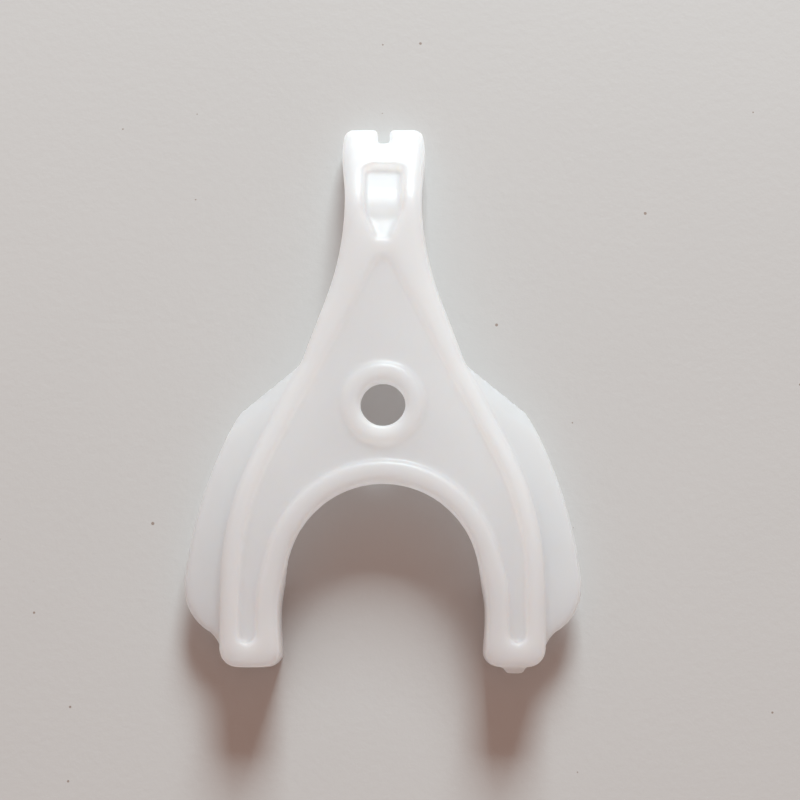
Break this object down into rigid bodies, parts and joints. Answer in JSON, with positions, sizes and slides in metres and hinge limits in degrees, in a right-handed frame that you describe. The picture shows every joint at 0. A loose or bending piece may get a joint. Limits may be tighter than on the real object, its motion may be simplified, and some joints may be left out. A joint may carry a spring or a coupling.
{
  "type": "shift fork",
  "caption": "One-piece moulded shift fork with a bent notched neck, a bored pivot boss, a sunk triangular panel, a round arch between grooved prongs and thin side wings.",
  "frame": {"origin": "axis of the pivot bore at its lower mouth, on the plate's lower face; the prongs and the neck's tip rest on a plane 5.2 mm below it", "axes": "+Z along the pivot bore, out of the ribbed face; +Y towards the free end of the neck; +X across the prongs"},
  "size_m": [0.048, 0.0679, 0.009],
  "materials": {
    "natural_polyamide": "semi-gloss translucent moulded surface"
  },
  "bodies": {
    "root": {"fork_lever": "natural_polyamide"}
  },
  "joints": []
}
